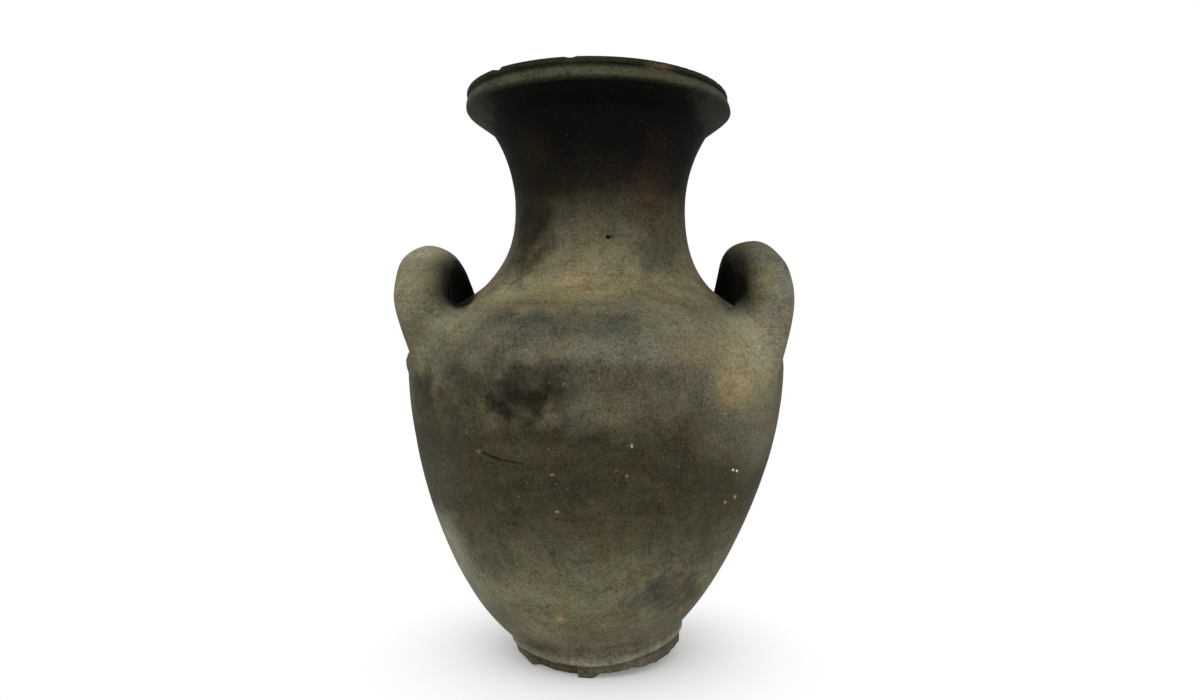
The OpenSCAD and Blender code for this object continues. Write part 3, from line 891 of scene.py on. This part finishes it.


# The clay: one surface that runs on over all the pieces, smoke-stained, with painted light and shade in its
# tones

skin = {
    "noises": {   # size in millimetres, detail, roughness, and which noise
        "broad": (34, 4, 0.55, 1), "middling": (11, 4, 0.6, 2), "fine": (1.1, 3, 0.7, 3),
        "strokes": (2.4, 3, 0.6, 4), "gritty": (2.6, 3, 0.7, 5), "warm": (19, 3, 0.6, 6),
        "cool": (26, 3, 0.6, 7), "flecks": (2.6, 1, 0.5, 8), "pits": (2.2, 1, 0.5, 9),
        "dents": (5, 3, 0.6, 10),
    },
    "drawnOut": 0.06,   # the strokes run far round the jar
    "levelShift": 34, "levelCalm": (365, 330), "levelTop": 400,
    "warp": {"middling": 2.2, "broad": 1.2},
    "cloudy": {"middling": 1.3, "broad": 0.6, "strokes": 0.4, "fine": 2.2, "gritty": 1.2}, "darkest": 0.15,
    "rough": {"middling": 0.3, "fine": 0.2}, "roughness": 0.6, "shadeSootRough": 0.4, "specular": 0.04,
    "relief": {"fine": 0.1, "strokes": 0.12, "dents": 0.25, "pits": -0.25, "flecks": 0.05},
    "beadFloorLight": {"tone": (136, 132, 113), "much": 0.65, "warp": 0.3},
    "tints": [("warm", (0.42, 0.62), 0.32, (1.12, 0.96, 0.78, 1)),
              ("cool", (0.5, 0.66), 0.5, (0.86, 0.98, 1.1, 1))],
    "flecks": {"steps": (0.75, 0.79), "fading": (300, 250, 0.06, 0.4), "tone": (150, 142, 108)},
    "pits": {"steps": (0.25, 0.2), "much": 0.6, "tone": (24, 22, 18)},
    "shadeSootBlack": (12, 12, 11), "shadeUpEase": 0.3,
    "inner": {"edgeX": 99.3, "fade": 22, "facing": (-0.4, 0.1), "out": (74, 82), "above": (224, 246),
              "below": (284, 260), "rightHigher": 4, "facingShare": 0.5, "warpShare": 0.08,
              "edge": (-0.45, 0.6), "much": 0.92},
}
shadedHeightTones = [   # height, and tone; the tones hold painted shade down the lower belly and the rim's painted shadow, with smoke black, on the neck and under the roll
    (0, (104, 99, 81)), (9, (100, 96, 79)), (12, (91, 87, 73)), (19, (92, 88, 74)),
    (26, (101, 96, 80)), (38, (99, 94, 73)), (60, (106, 103, 80)), (82, (92, 89, 69)),
    (105, (68, 64, 47)), (130, (57, 53, 38)), (158, (58, 54, 39)), (176, (80, 76, 59)),
    (200, (88, 84, 68)), (222, (86, 83, 67)), (240, (101, 96, 74)), (256, (107, 101, 78)),
    (270, (96, 91, 70)), (284, (78, 74, 57)), (299, (62, 58, 44)), (316, (27, 24, 17)),
    (338, (12, 10, 8)), (361, (8, 8, 7)), (371, (10, 10, 8)), (373.2, (66, 66, 50)),
    (377, (67, 67, 51)), (379.5, (24, 23, 18)), (382, (44, 42, 31)), (385, (36, 34, 26)),
    (400, (36, 34, 26)),
]
stainsAndPaintedLight = [   # place, size, tone, how much, how soft, how ragged, and where a streak ends; mostly stains, with some rows of painted light
    # painted highlight on the left handle's root fillet
    ((-84, -78, 226), (19, 30, 14), (117, 115, 92), 0.7, 0.6),
    ((-101, -72, 204), (16, 30, 11), (106, 104, 84), 0.6, 0.6),
    # painted highlight on the right handle's root fillet
    ((94, -72, 221), (24, 32, 14), (118, 116, 98), 0.75, 0.6),
    # painted light on the outer sides of the left and right handles
    ((-122, -46, 246), (13, 40, 30), (123, 119, 96), 0.7, 0.5),
    ((122, -46, 246), (13, 40, 30), (113, 111, 97), 0.6, 0.5),
    # painted light on the top of the left handle
    ((-116, -16, 275), (18, 60, 13), (147, 145, 120), 0.85, 0.6),
    ((15, -124, 209), (36, 20, 9), (106, 103, 88), 0.6, 0.6),
    ((58, -100, 222), (34, 30, 14), (110, 106, 85), 0.6, 0.7),
    ((-18, -118, 223), (46, 30, 7), (70, 72, 62), 0.7, 0.6),
    ((-56, -62, 248), (28, 24, 13), (132, 127, 97), 0.75, 0.6),
    ((-106, -64, 181), (13, 34, 15), (46, 44, 31), 0.75, 0.6),
    ((-94, -74, 160), (24, 34, 16), (60, 59, 45), 0.5, 0.7),
    ((-62, -107, 185), (34, 26, 15), (52, 49, 37), 0.65, 0.7),
    ((-34, -123, 190), (25, 20, 13), (46, 43, 34), 0.75, 0.55),
    ((-33, -121, 179), (23, 20, 10), (28, 24, 17), 0.85, 0.5),
    ((2, -124, 177), (22, 20, 8), (92, 89, 72), 0.6, 0.6),
    ((-43, -114, 153), (22, 20, 7), (74, 69, 50), 0.5, 0.6),
    ((16, -124, 193), (26, 18, 8), (68, 65, 54), 0.6, 0.7),
    ((-20, -120, 161), (36, 30, 6), (44, 41, 28), 0.5, 0.7),
    ((-6, -84, 250), (27, 20, 12), (136, 125, 90), 0.75, 0.6),
    ((8, -75, 262), (18, 20, 14), (116, 110, 86), 0.5, 0.6),
    ((92, -86, 199), (26, 34, 24), (140, 133, 106), 0.8, 0.7),
    ((82, -96, 191), (14, 20, 14), (142, 125, 86), 0.5, 0.6),
    ((58, -108, 208), (16, 20, 7), (118, 105, 80), 0.5, 0.7),
    ((102, -66, 160), (22, 34, 24), (108, 104, 84), 0.7, 0.7),
    ((75, -98, 160), (16, 20, 14), (98, 94, 75), 0.6, 0.7),
    ((-50, -50, 288), (18, 24, 34), (28, 26, 20), 0.75, 0.8, 0.5),
    ((-42, -46, 297), (15, 20, 34), (15, 13, 9), 0.5, 0.8, 0.5),
    ((41, -54, 272), (13, 20, 16), (58, 56, 43), 0.7, 0.8, 0.5),
    ((37, -50, 308), (15, 16, 19), (60, 46, 32), 0.5, 0.7),
    ((-44, -48, 336), (13, 16, 14), (33, 26, 15), 0.6, 0.7),
    ((40, -50, 336), (13, 16, 14), (31, 24, 15), 0.6, 0.7),
    # painted reflection of the pale floor on the lower left edge
    ((-90, -40, 80), (13, 34, 26), (138, 138, 122), 0.8, 0.6),
    ((-92, -66, 130), (24, 44, 16), (76, 75, 60), 0.55, 0.7),
    ((-60, -80, 84), (15, 20, 14), (66, 68, 54), 0.6, 0.7),
    ((-50, -75, 58), (22, 30, 15), (116, 112, 90), 0.5, 0.7),
    # painted reflection of the pale floor on the lower left edge, down to the foot
    ((-74, -40, 52), (14, 30, 22), (128, 127, 110), 0.6, 0.7),
    ((-56, -20, 20), (14, 30, 13), (130, 127, 108), 0.6, 0.6),
    ((62, -78, 84), (20, 24, 14), (72, 68, 56), 0.5, 0.7),
    ((112, -20, 274), (18, 60, 12), (98, 100, 89), 0.7, 0.6),
    # painted light where light reaches the roll's underside at the sides
    ((-84, -14, 367), (16, 44, 7), (62, 57, 45), 0.7, 0.6),
    ((80, -30, 368), (20, 44, 7), (54, 51, 42), 0.7, 0.6),
    ((-33, -65, 35), (17, 20, 10), (118, 113, 91), 0.65, 0.7),
    ((48, -74, 60), (22, 30, 17), (70, 66, 58), 0.8, 0.7),
    ((-19.7, -78.6, 45.7), (3.2, 5, 2.8), (160, 133, 88), 0.6, 0.8),
    ((38.5, -81.5, 380.5), (9, 8, 2.2), (104, 88, 58), 0.5, 0.7),
    ((7.5, -61.8, 280.2), (1.5, 3, 1.5), (6, 6, 6), 1.0, 0.3, 0.2),
    ((83.6, -85, 138), (0.9, 3, 0.8), (215, 213, 200), 1.0, 0.3, 0.2),
    ((86.5, -81.6, 136.9), (0.9, 3, 0.8), (205, 203, 190), 1.0, 0.3, 0.2),
    ((86.8, -73.4, 119.8), (1.0, 4, 1.5), (160, 148, 98), 0.7, 0.5),
    ((79.7, -80.2, 117.9), (1.1, 4, 1.1), (150, 136, 92), 0.7, 0.5),
    ((21.4, -121.5, 156), (0.6, 3, 1.2), (190, 180, 140), 0.8, 0.5),
    ((18.9, -118, 138.7), (0.8, 3, 0.8), (150, 130, 76), 0.7, 0.5),
    ((-20.5, -111.7, 117), (1.3, 3, 0.8), (150, 148, 128), 0.6, 0.5),
    ((-66.6, -102.4, 149.9), (2.0, 4, 1.0), (128, 112, 76), 0.6, 0.7),
    ((-64.8, -103.3, 149.3), (0.7, 0.7, 0.7), (28, 25, 18), 0.85, 0.5, 0.3, (-53.5, -108.8, 145.9)),
    ((-53.5, -108.8, 145.9), (0.7, 0.7, 0.7), (28, 25, 18), 0.8, 0.5, 0.3, (-40.4, -114, 144.4)),
]
holeShadeAndSoot = [   # painted shade, with some soot, in the handle holes and on the crowns' undersides: the same without a tone, and last how far a face may look up and still be painted black
    ((-88, 36, 256), (30, 60, 33), 0.97, 0.25, 0.2, 0.4),
    ((88, 36, 260), (29, 60, 30), 0.97, 0.25, 0.2, 0.4),
    ((-86, -52, 245), (8.5, 30, 12.5), 0.98, 0.22, 0.1, 1.2),
    ((86, -55, 250), (8.8, 30, 10.5), 0.98, 0.22, 0.1, 1.2),
]


def innerShadeAndSoot(place, facing, warp):   # painted shade, with some soot: the side handles' faces that look back at the neck are painted black
    form = skin["inner"]
    x = place.part("X")
    side = x.maths("SIGN", x)
    out, up = side * x, place.part("Z")
    inward = side * facing.part("X") * -1
    near = (form["edgeX"] - out) * (1 / form["fade"])
    zone = inward.step(*form["facing"]) * out.step(*form["out"]) * up.step(*form["above"])
    zone = zone * (up - side * form["rightHigher"]).step(*form["below"])
    shadeSootBlack = inward * form["facingShare"] + near + warp * form["warpShare"]
    return shadeSootBlack.step(*form["edge"]) * zone * form["much"]


def mixed(noises, shares, start):   # adds up noises, each of them about its middle value
    middle = 0.5
    for kind, share in shares.items():
        start = start + (noises[kind] - middle) * share
    return start


def clay(name, light, matte, relief):
    material, wire = newMaterial(name)
    place = wire.vector("MULTIPLY", wire.node("TexCoord", {}, {}, "Object"), (1 / mm,) * 3)
    facing = wire.node("TexCoord", {}, {}, "Normal")
    up = place.part("Z")
    out = skin["drawnOut"]
    drawn = place.vector("MULTIPLY", place, (out, out, 1))
    noises = {}
    for kind, form in skin["noises"].items():
        noises[kind] = grain(drawn if kind == "strokes" else place, *form)
    shift = mixed(noises, {"broad": skin["levelShift"]}, 0.0)
    low = up + shift * up.step(*skin["levelCalm"])
    # the tones by height carry painted shade on the lower belly and the rim's painted shadow on the neck
    stops = [(z / skin["levelTop"], tone(*colour)) for z, colour in shadedHeightTones]
    colour = wire.node("ValToRGB", {"stops": stops}, {0: low * (1 / skin["levelTop"])})
    warp = mixed(noises, skin["warp"], 0.0)
    # stains, and patches of painted light
    for at, size, patchValues, *edge in stainsAndPaintedLight:
        colour = patch(place, warp, at, size, *edge).blend(colour, tone(*patchValues))
    # the foot band's bead is painted lighter as floor light
    beadFloorLight = skin["beadFloorLight"]
    bead = wire.node("Attribute", {"attribute_name": "bead"}, {}, "Fac")
    colour = (bead * (beadFloorLight["much"] + warp * beadFloorLight["warp"])).blend(colour, tone(*beadFloorLight["tone"]))
    cloudy = mixed(noises, skin["cloudy"], light)
    colour = wire.scaled(colour, cloudy.maths("MAXIMUM", cloudy, skin["darkest"]))
    for kind, steps, much, tint in skin["tints"]:
        colour = (noises[kind].step(*steps) * much).blend(colour, tint, "MULTIPLY")
    for kind in ("flecks", "pits"):
        form = skin[kind]
        noises[kind] = noises[kind].step(*form["steps"])
        much = up.step(*form["fading"]) if "fading" in form else form["much"]
        colour = (noises[kind] * much).blend(colour, tone(*form["tone"]))
    # painted shade, with some soot, in the handle holes, under the crowns and on the handles' inner faces
    shadeSootBlack = tone(*skin["shadeSootBlack"])
    for *patchValues, shadeUpLimit in holeShadeAndSoot:
        shadeFacing = facing.part("Z").step(shadeUpLimit, shadeUpLimit - skin["shadeUpEase"])
        colour = (patch(place, warp, *patchValues) * shadeFacing).blend(colour, shadeSootBlack)
    # painted shade, with some soot, on the side handles' faces that look back at the neck
    shadeSootShare = innerShadeAndSoot(place, facing, warp)
    colour = shadeSootShare.blend(colour, shadeSootBlack)
    rough = mixed(noises, skin["rough"], skin["roughness"] + matte) + shadeSootShare * skin["shadeSootRough"]
    bumps = sum(noises[kind] * high for kind, high in skin["relief"].items())
    normal = wire.node("Bump", {}, {"Strength": relief, "Distance": mm, "Height": bumps}, "Normal")
    shader = wire.node("BsdfPrincipled", {}, {"Base Color": colour, "Roughness": rough, "Normal": normal,
                                              "Specular IOR Level": skin["specular"]})
    wire.node("OutputMaterial", {}, {"Surface": shader})
    return material


clays = {   # how light, how much rougher, and how deep the grain
    "burnished_clay": ("BurnishedClay", 1.0, 0.0, 0.7),
    "luting_clay": ("LutingClay", 1.1, 0.06, 0.8),
    "broken_clay": ("BrokenClay", 0.86, 0.25, 1.0),
}
finishes = {slot: clay(*form) for slot, form in clays.items()}
slots = {row["node"]: row["material_slot"] for row in frame["record"]["subparts"]}
for node, piece in pieces.items():
    piece.data.materials.append(finishes[slots[node]])
    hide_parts(node)
    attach(piece, "root")
print("clay:", len(stainsAndPaintedLight), "stains on", len(pieces), "pieces")


# Floor, light and camera

studio = {   # in metres
    "floorR": 6.0, "floorSides": 96, "whiteFrom": 0.0, "whiteTo": 0.17, "floorTone": 0.97,
    "sky": 0.6, "skySeen": 0.4,   # the background is brighter to the camera than as a light
}
white = (1, 1, 1, 1)
bpy.ops.mesh.primitive_circle_add(vertices=studio["floorSides"], radius=studio["floorR"], fill_type="NGON")
floor = bpy.context.object
floor.name = "Floor"
floorMaterial, wire = newMaterial("PaleFloor")
flatPlace = wire.vector("MULTIPLY", wire.node("TexCoord", {}, {}, "Object"), (1, 1, 0))
seen = wire.node("LightPath", {}, {}, "Is Camera Ray")
glowing = flatPlace.length().step(studio["whiteFrom"], studio["whiteTo"]) * seen
pale = wire.node("BsdfDiffuse", {}, {"Color": (studio["floorTone"],) * 3 + (1,)})
glow = wire.node("Emission", {}, {"Color": white, "Strength": 1.0})
wire.node("OutputMaterial", {}, {"Surface": wire.node("MixShader", {}, {0: glowing, 1: pale, 2: glow})})
floor.data.materials.append(floorMaterial)

world = bpy.data.worlds.new("Studio")
bpy.context.scene.world = world
world.use_nodes = True
world.node_tree.nodes.clear()
wire = Wire(world.node_tree)
seen = wire.node("LightPath", {}, {}, "Is Camera Ray")
strength = seen * studio["skySeen"] + studio["sky"]
sky = wire.node("Background", {}, {"Color": white, "Strength": strength})
wire.node("OutputWorld", {}, {"Surface": sky})

lamps = {
    "Key": {"at": (-0.35, -1.1, 1.45), "aim": (0, 0, 0.2), "size": 1.7, "power": 15},
    "Fill": {"at": (1.2, -0.9, 0.8), "aim": (0, 0, 0.2), "size": 1.2, "power": 4},
}
for name, lamp in lamps.items():
    light = bpy.data.lights.new(name, "AREA")
    light.shape = "SQUARE"
    light.size = lamp["size"]
    light.energy = lamp["power"]
    holder = bpy.data.objects.new(name, light)
    holder.location = lamp["at"]
    holder.rotation_euler = (Vector(lamp["aim"]) - Vector(lamp["at"])).to_track_quat("-Z", "Y").to_euler()
    bpy.context.scene.collection.objects.link(holder)
print("studio:", len(lamps), "lamps")

view = {   # lengths in millimetres, the focal length and the frame in pixels
    "x": 3.15, "distance": 595, "height": 209.3, "roll": 0.5, "focal": 850, "frameWide": 1200, "sensor": 36,
    "clip": 10,
}
cameraData = bpy.data.cameras.new("Camera")
cameraData.sensor_width = view["sensor"]
cameraData.lens = view["sensor"] * view["focal"] / view["frameWide"]
cameraData.clip_start = view["clip"] * mm
camera = bpy.data.objects.new("Camera", cameraData)
camera.location = (view["x"] * mm, -view["distance"] * mm, view["height"] * mm)
camera.rotation_euler = (math.pi / 2, 0, 0)
camera.rotation_euler.rotate_axis("Z", math.radians(view["roll"]))
bpy.context.scene.collection.objects.link(camera)
bpy.context.scene.camera = camera
bpy.context.scene.view_settings.view_transform = "Standard"
